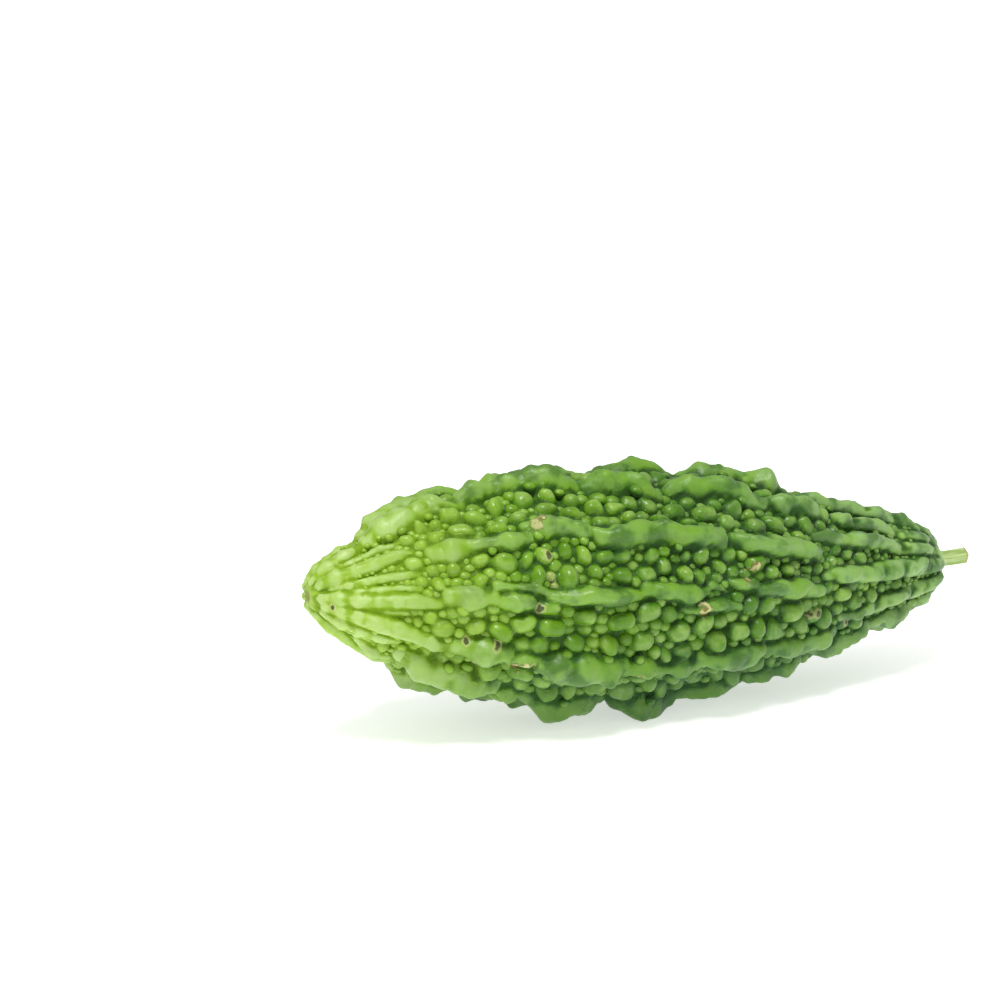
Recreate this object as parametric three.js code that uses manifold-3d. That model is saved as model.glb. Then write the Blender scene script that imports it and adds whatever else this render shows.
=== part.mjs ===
// Bitter gourd lying on its side, with its cut stalk. Millimetres, +Z up.
// The blossom tip is at -X and the stalk at +X. The origin is under the middle of the whole part,
// on the surface that it lies on.
//
// A place on the skin is a station, the way along the bare skin from the blossom scar in mm, and
// an angle round the long axis in degrees: 0 is the top, 90 the -Y side, 180 the underside.
// Everything that stands out of the skin is a round-topped bump along a short line: a wart is one
// line, and a lump of a ridge is a chain of them.

import * as THREE from "three";
import { ConvexHull } from "three/addons/math/ConvexHull.js";
import { mergeVertices } from "three/addons/utils/BufferGeometryUtils.js";
import Module from "manifold-3d";

const wasm = await Module();
wasm.setup();

// The bare body: the distance along the axis and the radius at the floor between the warts.
const FRUIT_LENGTH = 198;
const OUTLINE = [
  [0, 0], [1, 2.7], [4, 5], [10, 8.4], [20, 14.4], [36, 21.4], [60, 26.6],
  [90, 28.2], [120, 26.4], [150, 20.9], [176, 13.8], [188, 9.6], [195, 5.4], [FRUIT_LENGTH, 0],
];
const OUTLINE_STEPS = 40;

// How the body lies: its axis sags in the middle, and the stalk end is the lower one.
const SAG = 2.6;
const AXIS_SLOPE = -0.061;
const AXIS_HEIGHT = 35.8;
const MIDDLE_X = -5.7;
const MIDDLE_Y = -0.4;

// The lumps of each ridge: first and last station, first and last angle, half width, height.
const RIDGES = {
  upperBack: [
    [4, 22, -32, -30, 2.6, 2.6], [26, 60, -30, -26, 4.2, 4.8], [63, 94, -25, -22, 4, 5.2],
    [98, 118, -16, -12, 4.8, 5.8], [122, 150, -8, 6, 4.4, 6], [154, 206, 14, 26, 3.2, 4],
  ],
  top: [
    [4, 21, 10, 5, 2.6, 2.8], [23, 49, 4, 4, 5.2, 4.4], [51, 59, 2, 4, 3.6, 6],
    [61, 82, 3, 12, 4.6, 7], [85, 105, 14, 22, 4.2, 6.5], [111, 137, 18, 28, 4.6, 6.5],
    [139, 158, 27, 33, 3.8, 5], [162, 206, 35, 48, 3, 3.6],
  ],
  shoulder: [
    [5, 31, 43, 40, 2.3, 2.2], [36, 48, 46, 47, 3.6, 4.2], [49, 61, 47, 48, 3.8, 4.8],
    [62, 80, 42, 47, 3.8, 5], [81, 117, 49, 55, 4.2, 6.8], [121, 149, 55, 62, 3.6, 5.5],
    [151, 206, 50, 65, 2.8, 3.8],
  ],
  front: [
    [5, 35, 86, 83, 2.4, 2.8], [38, 49, 77, 80, 4, 4.4], [50, 60, 82, 82, 2.7, 3.8],
    [50, 56, 74, 74, 1.9, 3.2], [57, 64, 74, 76, 2, 3.4], [65, 89, 78, 80, 3, 4.8],
    [91, 110, 78, 81, 3.2, 5], [112, 118, 79, 82, 2.2, 3.6], [119, 126, 76, 79, 2.8, 4],
    [128, 149, 83, 88, 3.2, 5], [152, 206, 79, 80, 3, 4.2], [103, 121, 88, 90, 2.5, 4],
  ],
  lowerFront: [
    [6, 39, 103, 116, 2.8, 3.6], [41, 53, 115, 115, 4.2, 5.2], [54, 62, 119, 116, 2.8, 4.2],
    [63, 86, 119, 121, 5, 6.5], [88, 98, 122, 123, 3.8, 5.4], [100, 109, 124, 121, 3.8, 5.4],
    [111, 130, 118, 119, 4.4, 6], [133, 157, 121, 122, 3.4, 4.4], [160, 206, 112, 104, 2.8, 3.4],
  ],
  underFront: [
    [6, 26, 128, 126, 2.2, 2.4], [17, 26, 152, 154, 2.6, 3.4], [28, 53, 137, 143, 4.6, 6],
    [55, 63, 150, 150, 3, 4.4], [65, 87, 154, 155, 4.4, 6.4], [92, 109, 156, 156, 4.6, 8.8],
    [112, 129, 152, 150, 3.6, 5.2], [132, 148, 146, 143, 3.8, 5], [151, 206, 136, 128, 3, 3.8],
  ],
  underBack: [
    [5, 30, 168, 180, 2.4, 2.8], [32, 52, 186, 188, 4, 5], [54, 67, 189, 191, 3.6, 5],
    [69, 99, 194, 195, 4.4, 6.7], [102, 124, 195, 194, 4, 6.1], [127, 150, 190, 186, 3.6, 4.6],
    [153, 206, 182, 172, 2.9, 3.6],
  ],
};

// Ridges of the far side, grown by a rule: their angle near the tip, in the middle and near the
// stalk, and the range that each lump's length, gap, half width and height is drawn from.
const GROWN_RIDGES = {
  lowerBack: [218, 229, 212],
  back: [257, 264, 252],
  backTop: [298, 300, 304],
};
const GROWN_LENGTH = [10, 28];
const GROWN_GAP = [1.5, 3.5];
const GROWN_HALF_WIDTH = [3.2, 4.4];
const GROWN_HEIGHT = [4.6, 6.4];
const GROWN_PLEAT = { from: 4, to: 26, halfWidth: 2.4, height: 2.6 };
const GROWN_END = { from: 152, to: 206, halfWidth: 3, height: 3.8 };
const GROWN_SHIFT = 3;

// Fine pleats that run from the scar between the ridges: angle, first and last station.
const PLEATS = [
  [-11, 6, 21], [26, 6, 29], [60, 8, 31], [73, 10, 31], [95, 9, 27], [114, 7, 16], [141, 7, 20],
  [192, 8, 24], [238, 8, 25], [277, 7, 23], [316, 8, 22],
];
const PLEAT_HALF_WIDTH = 1.6;
const PLEAT_HEIGHT = 1.5;

// A lump's knots, how thick it may be beside the body, and the low skirt that it stands on.
const KNOT_STEP = 5;
const KNOT_SPREAD = 0.1;
const LUMP_END_TAPER = 0.8;
const WIDEST_TO_RADIUS = 0.3;
const TALLEST_TO_RADIUS = 0.36;
const SKIRT_HEIGHT = 0.8;
const SKIRT_REACH = 5;
const HEIGHTS_TO_SKIRT = 3;
const BLEND = 0.8;

// Warts are thrown at the skin, the large ones first, and stay where they find room: throws, then
// the smallest and the largest radius.
const WART_PASSES = [[9000, 2.5, 3.2], [14000, 2, 2.5]];
const WART_FIRST = 20;
const WART_LAST = 204;
const WART_HEIGHT = 1.05;
const WART_STRETCH = 0.4;
const WART_CLEARANCE = 0.9;
const LUMP_CLEARANCE = 0.8;
const WART_TO_LUMP = 0.72;
const FULL_SIZE_RADIUS = 24;
const SMALLEST_SCALE = 0.35;
const FINE_BAND = { from: 52, to: 76, scale: 0.86 };
const COARSE_BAND = { from: 90, to: 115, scale: 1.1 };
const SHELF_DEPTH = 10;
const SEED = 2718;
const DRAW_FACTOR = 16807;
const DRAW_MODULUS = 2147483647;

// The blossom scar: a shallow round dent in the tip.
const SCAR_RADIUS = 2.1;
const SCAR_DEPTH = 1;
const SCAR_SIDES = 8;

// How closely the skin's corners stand: round each wart, along each lump and in the creases.
const SHOULDER_REACH = 0.66;
const WART_SIDES = 5;
const LUMP_SHOULDER = 0.72;
const CLOSEST_SHOULDERS = 1.2;
const CREASE_HEIGHT = 2;
const CLOSEST_CREASES = 1.8;
const CLOSEST_FILLING = 2.6;
const SCAN_STEP = 0.8;
const FEWEST_SCANNED = 6;

// How finely the skin's slope and its map onto a ball are read.
const SLOPE_REACH = 0.5;
const MAP_STEP = 0.25;
const SMALLEST_MAP_RADIUS = 0.05;

// The stalk: how far it is sunk in and stands out, its radii, ribs, and the gap round its foot.
const STALK_SUNK = 3;
const STALK_OUT = 11;
const STALK_RADIUS = 2.05;
const STALK_FOOT_RADIUS = 3.1;
const STALK_FOOT_REACH = 3.5;
const STALK_END_RADIUS = 2.2;
const STALK_RIBS = 5;
const STALK_RIB_DEPTH = 0.07;
const STALK_SIDES = 30;
const STALK_RINGS = 9;
const STALK_SLOPE = -0.03;
const STALK_BEND = 0.5;
const FIT_GAP = 0.3;

const FLOOR_DEPTH = 20;

const toRadians = THREE.MathUtils.degToRad;
const clamp = THREE.MathUtils.clamp;

// A stream of numbers from 0 to 1 that is the same on every run.
function makeDraw(seed) {
  let state = seed;
  return () => {
    state = (state * DRAW_FACTOR) % DRAW_MODULUS;
    return state / DRAW_MODULUS;
  };
}

function between(range, share) {
  return range[0] + (range[1] - range[0]) * share;
}

// The bare skin, read by station. The outline is mirrored past its ends, so both poles are round.
function makeSkin() {
  const corners = OUTLINE.map(([along, radius]) => new THREE.Vector2(along, radius));
  const before = new THREE.Vector2(corners[1].x, -corners[1].y);
  const after = new THREE.Vector2(corners.at(-2).x, -corners.at(-2).y);
  const curve = new THREE.SplineCurve([before, ...corners, after]);
  const spans = corners.length - 1;
  const samples = [];
  for (let step = 0; step <= spans * OUTLINE_STEPS; step++) {
    samples.push(curve.getPoint((1 + step / OUTLINE_STEPS) / (spans + 2)));
  }
  const stations = [0];
  for (let i = 1; i < samples.length; i++) {
    stations.push(stations[i - 1] + samples[i].distanceTo(samples[i - 1]));
  }
  const length = stations.at(-1);

  function at(station) {
    const place = clamp(station, 0, length);
    let low = 0;
    let high = stations.length - 1;
    while (high - low > 1) {
      const middle = (low + high) >> 1;
      if (stations[middle] <= place) low = middle;
      else high = middle;
    }
    const share = (place - stations[low]) / (stations[high] - stations[low]);
    return new THREE.Vector2().lerpVectors(samples[low], samples[high], share);
  }

  // The point on the bare skin, on a straight axis that starts at the scar.
  function bare(station, angle) {
    const { x, y } = at(station);
    return new THREE.Vector3(x, -y * Math.sin(toRadians(angle)), y * Math.cos(toRadians(angle)));
  }

  return { length, at, bare };
}

// The point at a height over the skin, where it really lies, round the sagging axis.
function place(skin, station, angle, height) {
  const { x, y } = skin.at(station);
  const ahead = skin.at(station + SLOPE_REACH);
  const behind = skin.at(station - SLOPE_REACH);
  const along = ahead.sub(behind).normalize();
  const outward = new THREE.Vector2(-along.y, along.x);
  if (station <= 0) outward.set(-1, 0);
  if (station >= skin.length) outward.set(1, 0);
  const distance = x + outward.x * height - FRUIT_LENGTH / 2;
  const radius = y + outward.y * height;
  return new THREE.Vector3(
    distance + MIDDLE_X,
    -radius * Math.sin(toRadians(angle)) + MIDDLE_Y,
    radius * Math.cos(toRadians(angle)) + axisHeight(distance),
  );
}

function axisHeight(distance) {
  const share = distance / (FRUIT_LENGTH / 2);
  return AXIS_HEIGHT - SAG * (1 - share * share) + AXIS_SLOPE * distance;
}

// A lump as knots along its line, each a little wider or lower than the next, thinner at its ends.
function lumpKnots(skin, [from, to, angleFrom, angleTo, halfWidth, height], draw) {
  const steps = Math.max(1, Math.round((to - from) / KNOT_STEP));
  const knots = [];
  for (let step = 0; step <= steps; step++) {
    const share = step / steps;
    const station = from + (to - from) * share;
    const angle = angleFrom + (angleTo - angleFrom) * share;
    const radius = skin.at(station).y;
    const taper = step === 0 || step === steps ? LUMP_END_TAPER : 1;
    const width = halfWidth * taper * (1 + KNOT_SPREAD * (2 * draw() - 1));
    const rise = height * taper * (1 + KNOT_SPREAD * (2 * draw() - 1));
    knots.push({
      station,
      angle,
      point: skin.bare(station, angle),
      halfWidth: Math.min(width, WIDEST_TO_RADIUS * radius),
      height: Math.min(rise, TALLEST_TO_RADIUS * radius),
    });
  }
  return knots;
}

// The ridges of the far side: a pleat from the tip, lumps with gaps, and a long low end.
function growRidge([nearTip, middle, nearStalk], draw) {
  const bend = new THREE.QuadraticBezierCurve(
    new THREE.Vector2(0, nearTip),
    new THREE.Vector2(GROWN_END.from / 2, 2 * middle - (nearTip + nearStalk) / 2),
    new THREE.Vector2(GROWN_END.from, nearStalk),
  );
  const angleAt = (station) => bend.getPoint(clamp(station / GROWN_END.from, 0, 1)).y;
  const lumps = [[
    GROWN_PLEAT.from, GROWN_PLEAT.to, nearTip, angleAt(GROWN_PLEAT.to),
    GROWN_PLEAT.halfWidth, GROWN_PLEAT.height,
  ]];
  let from = GROWN_PLEAT.to + between(GROWN_GAP, draw());
  while (from < GROWN_END.from - GROWN_LENGTH[0]) {
    const to = Math.min(from + between(GROWN_LENGTH, draw()), GROWN_END.from - GROWN_GAP[0]);
    const shift = GROWN_SHIFT * (2 * draw() - 1);
    const halfWidth = between(GROWN_HALF_WIDTH, draw());
    const height = between(GROWN_HEIGHT, draw());
    lumps.push([from, to, angleAt(from) + shift, angleAt(to) + shift, halfWidth, height]);
    from = to + between(GROWN_GAP, draw());
  }
  lumps.push([
    GROWN_END.from, GROWN_END.to, nearStalk, nearStalk, GROWN_END.halfWidth, GROWN_END.height,
  ]);
  return lumps;
}

function makeLumps(skin, draw) {
  const rows = Object.values(RIDGES).flat();
  for (const angles of Object.values(GROWN_RIDGES)) rows.push(...growRidge(angles, draw));
  for (const [angle, from, to] of PLEATS) {
    rows.push([from, to, angle, angle, PLEAT_HALF_WIDTH, PLEAT_HEIGHT]);
  }
  return rows.map((row) => lumpKnots(skin, row, draw));
}

// A bump's line, with the half width and the height at each of its ends.
function makeBump(first, last, isLump) {
  const span = new THREE.Vector3().subVectors(last.point, first.point);
  return {
    first,
    last,
    isLump,
    span,
    lengthSquared: span.lengthSq(),
    from: Math.min(first.station, last.station),
    to: Math.max(first.station, last.station),
  };
}

// How far a point of the bare skin is from a bump's line, and the bump's size beside it.
function beside(bump, point) {
  const offset = new THREE.Vector3().subVectors(point, bump.first.point);
  const share = bump.lengthSquared > 0 ? clamp(offset.dot(bump.span) / bump.lengthSquared, 0, 1) : 0;
  const distance = offset.addScaledVector(bump.span, -share).length();
  return {
    distance,
    halfWidth: bump.first.halfWidth + (bump.last.halfWidth - bump.first.halfWidth) * share,
    height: bump.first.height + (bump.last.height - bump.first.height) * share,
  };
}

// Bumps kept by station, so that only the near ones are asked.
function makeBumpShelf(skin) {
  const shelves = Array.from({ length: Math.ceil(skin.length / SHELF_DEPTH) + 1 }, () => []);
  const shelfOf = (station) => clamp(Math.floor(station / SHELF_DEPTH), 0, shelves.length - 1);
  return {
    add(bump) {
      const last = shelfOf(bump.to + SHELF_DEPTH);
      for (let i = shelfOf(bump.from - SHELF_DEPTH); i <= last; i++) shelves[i].push(bump);
    },
    near: (station) => shelves[shelfOf(station)],
  };
}

// Warts stay clear of each other and lean a little into the lumps.
function hasRoom(shelf, station, point, radius) {
  for (const bump of shelf.near(station)) {
    const { distance, halfWidth } = beside(bump, point);
    const reach = bump.isLump
      ? LUMP_CLEARANCE * halfWidth + WART_TO_LUMP * radius
      : WART_CLEARANCE * (halfWidth + radius);
    if (distance < reach) return false;
  }
  return true;
}

function throwWarts(skin, shelf, draw) {
  const widest = Math.max(...OUTLINE.map(([, radius]) => radius));
  const warts = [];
  for (const [throws, smallest, largest] of WART_PASSES) {
    for (let i = 0; i < throws; i++) {
      const station = WART_FIRST + (WART_LAST - WART_FIRST) * draw();
      const angle = 360 * draw();
      const chance = draw();
      const size = between([smallest, largest], draw());
      const stretch = WART_STRETCH * draw();
      const bodyRadius = skin.at(station).y;
      if (chance > bodyRadius / widest) continue;
      let scale = clamp(bodyRadius / FULL_SIZE_RADIUS, SMALLEST_SCALE, 1);
      for (const band of [FINE_BAND, COARSE_BAND]) {
        if (angle > band.from && angle < band.to) scale *= band.scale;
      }
      const halfWidth = size * scale;
      const point = skin.bare(station, angle);
      if (!hasRoom(shelf, station, point, halfWidth)) continue;
      const height = WART_HEIGHT * halfWidth;
      const ends = [-1, 1].map((side) => {
        const end = station + side * stretch * halfWidth;
        return { station: end, angle, point: skin.bare(end, angle), halfWidth, height };
      });
      const wart = { station, angle, halfWidth, bump: makeBump(ends[0], ends[1], false) };
      shelf.add(wart.bump);
      warts.push(wart);
    }
  }
  return warts;
}

// The higher of two heights, rounded where they meet.
function blendMax(a, b) {
  const overlap = Math.max(BLEND - Math.abs(a - b), 0);
  return Math.max(a, b) + (overlap * overlap) / (4 * BLEND);
}

// The height of the skin over the bare body.
function makeRelief(skin, shelf) {
  return (station, angle) => {
    const point = skin.bare(station, angle);
    let height = 0;
    let skirt = 0;
    for (const bump of shelf.near(station)) {
      const side = beside(bump, point);
      const inside = 1 - (side.distance / side.halfWidth) ** 2;
      if (inside > 0) height = blendMax(height, side.height * Math.sqrt(inside));
      if (bump.isLump) {
        const reach = 1 - (side.distance / (side.halfWidth + SKIRT_REACH)) ** 2;
        skirt = Math.max(skirt, reach * Math.min(SKIRT_HEIGHT, side.height / HEIGHTS_TO_SKIRT));
      }
    }
    const scar = Math.max(0, 1 - (skin.at(station).y / SCAR_RADIUS) ** 2);
    const isTip = station < skin.length / 2;
    return height + skirt - (isTip ? SCAR_DEPTH * scar : 0);
  };
}

// The corners of the faceted skin, each a station and an angle.
function pickCorners(skin, lumps, warts, relief) {
  const cell = CLOSEST_FILLING;
  const cells = new Map();
  const corners = [];
  const keyOf = (x, y, z) => `${Math.floor(x / cell)},${Math.floor(y / cell)},${Math.floor(z / cell)}`;

  function isClear(point, spacing) {
    for (const dx of [-cell, 0, cell]) {
      for (const dy of [-cell, 0, cell]) {
        for (const dz of [-cell, 0, cell]) {
          const near = cells.get(keyOf(point.x + dx, point.y + dy, point.z + dz));
          if (near && near.some((other) => other.distanceTo(point) < spacing)) return false;
        }
      }
    }
    return true;
  }

  function addCorner(station, angle, spacing) {
    if (station < 0 || station > skin.length) return;
    const point = skin.bare(station, angle);
    if (!isClear(point, spacing)) return;
    const key = keyOf(point.x, point.y, point.z);
    if (!cells.has(key)) cells.set(key, []);
    cells.get(key).push(point);
    corners.push({ station, angle });
  }

  function addBeside({ station, angle }, alongSkin, acrossSkin) {
    const aside = THREE.MathUtils.radToDeg(acrossSkin / skin.at(station).y);
    addCorner(station + alongSkin, angle + aside, CLOSEST_SHOULDERS);
  }

  addCorner(0, 0, 0);
  addCorner(skin.length, 0, 0);
  for (let i = 0; i < SCAR_SIDES; i++) addCorner(SCAR_RADIUS, (i * 360) / SCAR_SIDES, 0);
  for (const knot of lumps.flat()) addBeside(knot, 0, 0);
  for (const wart of warts) addBeside(wart, 0, 0);

  const scan = [];
  for (let station = SCAN_STEP; station < skin.length; station += SCAN_STEP) {
    const count = Math.max(FEWEST_SCANNED, Math.round((2 * Math.PI * skin.at(station).y) / SCAN_STEP));
    for (let i = 0; i < count; i++) {
      const angle = (360 * i) / count;
      scan.push({ station, angle, height: relief(station, angle) });
    }
  }
  scan.sort((a, b) => a.height - b.height);
  for (const { station, angle, height } of scan) {
    if (height < CREASE_HEIGHT) addCorner(station, angle, CLOSEST_CREASES);
  }

  for (const knot of lumps.flat()) {
    for (const side of [-1, 1]) addBeside(knot, 0, side * LUMP_SHOULDER * knot.halfWidth);
  }
  for (const wart of warts) {
    const reach = SHOULDER_REACH * wart.halfWidth;
    for (let i = 0; i < WART_SIDES; i++) {
      const turn = (2 * Math.PI * i) / WART_SIDES + wart.station;
      addBeside(wart, reach * Math.cos(turn), reach * Math.sin(turn));
    }
  }
  for (const { station, angle } of scan) addCorner(station, angle, CLOSEST_FILLING);
  return corners;
}

// A map of the body of revolution onto a ball that keeps small shapes, so that the hull of the
// corners on the ball joins them as they should be joined on the skin.
function makeBallMap(skin) {
  const stretches = [0];
  for (let station = MAP_STEP; station <= skin.length; station += MAP_STEP) {
    const radius = Math.max(skin.at(station - MAP_STEP / 2).y, SMALLEST_MAP_RADIUS);
    stretches.push(stretches.at(-1) + MAP_STEP / radius);
  }
  const middle = stretches[Math.floor(stretches.length / 2)];
  return ({ station, angle }) => {
    if (station <= 0) return new THREE.Vector3(-1, 0, 0);
    if (station >= skin.length) return new THREE.Vector3(1, 0, 0);
    const index = Math.min(Math.floor(station / MAP_STEP), stretches.length - 2);
    const share = station / MAP_STEP - index;
    const stretch = stretches[index] + (stretches[index + 1] - stretches[index]) * share - middle;
    const radius = 1 / Math.cosh(stretch);
    return new THREE.Vector3(
      Math.tanh(stretch),
      -radius * Math.sin(toRadians(angle)),
      radius * Math.cos(toRadians(angle)),
    );
  };
}

function skinGeometry(skin, corners, relief) {
  const toBall = makeBallMap(skin);
  const ballPoints = corners.map(toBall);
  const indexOf = new Map(ballPoints.map((point, index) => [point, index]));
  const hull = new ConvexHull().setFromPoints(ballPoints);
  const faces = hull.faces.flatMap((face) => [0, 1, 2].map((i) => indexOf.get(face.getEdge(i).head().point)));
  const positions = corners.flatMap(({ station, angle }) =>
    place(skin, station, angle, relief(station, angle)).toArray(),
  );
  const geometry = new THREE.BufferGeometry();
  geometry.setAttribute("position", new THREE.Float32BufferAttribute(positions, 3));
  geometry.setIndex(faces);
  return geometry;
}

// A ribbed stalk, wider at its foot, that bends a little. Its extra is added all round.
function stalkGeometry(extra) {
  const length = STALK_SUNK + STALK_OUT;
  const geometry = new THREE.CylinderGeometry(1, 1, length, STALK_SIDES, STALK_RINGS);
  geometry.deleteAttribute("normal");
  geometry.deleteAttribute("uv");
  const merged = mergeVertices(geometry);
  const position = merged.getAttribute("position");
  const start = FRUIT_LENGTH / 2 - STALK_SUNK;
  for (let i = 0; i < position.count; i++) {
    const share = 0.5 + position.getY(i) / length;
    const out = share * length - STALK_SUNK;
    const foot = clamp(1 - out / STALK_FOOT_REACH, 0, 1);
    const body = STALK_RADIUS + (STALK_END_RADIUS - STALK_RADIUS) * share;
    const radius = body + (STALK_FOOT_RADIUS - body) * foot * foot;
    const turn = Math.atan2(position.getZ(i), position.getX(i));
    const rib = 1 + STALK_RIB_DEPTH * (1 - foot) * Math.cos(STALK_RIBS * turn);
    const reach = Math.hypot(position.getX(i), position.getZ(i)) * (radius * rib + extra);
    const distance = start + share * (length + 2 * extra) - extra;
    const beyond = Math.max(0, distance - start);
    const rise = STALK_SLOPE * beyond + STALK_BEND * (beyond / length) ** 2;
    position.setXYZ(
      i,
      distance + MIDDLE_X,
      reach * Math.sin(turn) + MIDDLE_Y,
      reach * Math.cos(turn) + axisHeight(start) + rise,
    );
  }
  return merged;
}

function toSolid(geometry) {
  return new wasm.Manifold(new wasm.Mesh({
    numProp: 3,
    vertProperties: new Float32Array(geometry.getAttribute("position").array),
    triVerts: new Uint32Array(geometry.index.array),
  }));
}

function toGeometry(solid) {
  const mesh = solid.getMesh();
  const geometry = new THREE.BufferGeometry();
  geometry.setAttribute("position", new THREE.Float32BufferAttribute(mesh.vertProperties, 3));
  geometry.setIndex(new THREE.Uint32BufferAttribute(mesh.triVerts, 1));
  return geometry;
}

function boxGeometry(length, width, depth) {
  const box = new THREE.BoxGeometry(length, width, depth);
  box.deleteAttribute("normal");
  box.deleteAttribute("uv");
  return mergeVertices(box);
}

// The gourd: its skin, flat where it rests, with a seat for the stalk.
function makeFruit() {
  const skin = makeSkin();
  const draw = makeDraw(SEED);
  const shelf = makeBumpShelf(skin);
  const lumps = makeLumps(skin, draw);
  for (const knots of lumps) {
    for (let i = 1; i < knots.length; i++) shelf.add(makeBump(knots[i - 1], knots[i], true));
  }
  const warts = throwWarts(skin, shelf, draw);
  const relief = makeRelief(skin, shelf);
  const corners = pickCorners(skin, lumps, warts, relief);
  const whole = toSolid(skinGeometry(skin, corners, relief));
  const table = boxGeometry(2 * FRUIT_LENGTH, FRUIT_LENGTH, FLOOR_DEPTH);
  table.translate(0, 0, -FLOOR_DEPTH / 2);
  const seat = toSolid(stalkGeometry(FIT_GAP));
  return toGeometry(whole.subtract(toSolid(table)).subtract(seat));
}

const FRUIT_SKIN = new THREE.MeshStandardMaterial({ color: 0x7fae45, roughness: 0.38, metalness: 0 });
const STALK_GREEN = new THREE.MeshStandardMaterial({ color: 0xafc98d, roughness: 0.55, metalness: 0 });

function named(name, geometry, material) {
  geometry.computeVertexNormals();
  const mesh = new THREE.Mesh(geometry, material);
  mesh.name = name;
  return mesh;
}

const gourd = new THREE.Group();
gourd.add(named("fruit", makeFruit(), FRUIT_SKIN));
gourd.add(named("stem", stalkGeometry(0), STALK_GREEN));

export default gourd;
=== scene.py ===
"""A bitter gourd with its cut stalk, lying on a pale floor in soft studio light.

A place on the skin is a station, the way along the bare skin from the blossom scar in
millimetres, and an angle round the long axis in degrees: 0 is the top, 90 the -Y side and 180 the
underside. Everything that stands out of the skin is a round-topped bump along a short line: a wart
is one line, and a lump of a ridge is a chain of them.
"""

import math
from typing import NamedTuple

import bmesh
import bpy
import numpy as np
from bpy.props import FloatProperty, FloatVectorProperty, IntProperty, PointerProperty
from mathutils import Matrix, Vector, noise


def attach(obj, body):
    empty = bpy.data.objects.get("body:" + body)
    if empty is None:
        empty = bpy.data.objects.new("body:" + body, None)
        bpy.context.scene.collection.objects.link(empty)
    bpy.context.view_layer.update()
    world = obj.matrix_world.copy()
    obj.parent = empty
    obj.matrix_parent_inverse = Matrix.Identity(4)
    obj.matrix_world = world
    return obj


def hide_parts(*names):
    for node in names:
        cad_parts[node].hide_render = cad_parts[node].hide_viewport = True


bl_info = {
    "name": "Bitter gourd",
    "version": (1, 0, 0),
    "blender": (4, 5, 0),
    "location": "3D View > Sidebar > Gourd",
    "description": "Models a warty bitter gourd with its cut stalk and sets it on a pale floor",
    "category": "Add Mesh",
}

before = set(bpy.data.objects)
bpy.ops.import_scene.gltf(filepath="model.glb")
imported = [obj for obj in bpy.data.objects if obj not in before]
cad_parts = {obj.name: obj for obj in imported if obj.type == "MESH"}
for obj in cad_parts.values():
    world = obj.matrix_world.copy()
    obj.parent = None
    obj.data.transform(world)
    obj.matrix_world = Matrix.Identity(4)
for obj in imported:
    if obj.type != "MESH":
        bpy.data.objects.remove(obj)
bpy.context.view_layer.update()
MM = 0.001

# The bare body: the distance along the axis and the radius at the floor between the warts, and
# how far to each side of a station its slope is read.
FRUIT_LENGTH = 198
OUTLINE = (
    (0, 0), (1, 2.7), (4, 5), (10, 8.4), (20, 14.4), (36, 21.4), (60, 26.6),
    (90, 28.2), (120, 26.4), (150, 20.9), (176, 13.8), (188, 9.6), (195, 5.4), (FRUIT_LENGTH, 0),
)
OUTLINE_STEPS = 40
SLOPE_REACH = 0.5

# How the body lies: its axis sags in the middle, and the stalk end is the lower one.
SAG = 2.6
AXIS_SLOPE = -0.061
AXIS_HEIGHT = 35.8
MIDDLE_X = -5.7
MIDDLE_Y = -0.4

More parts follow.
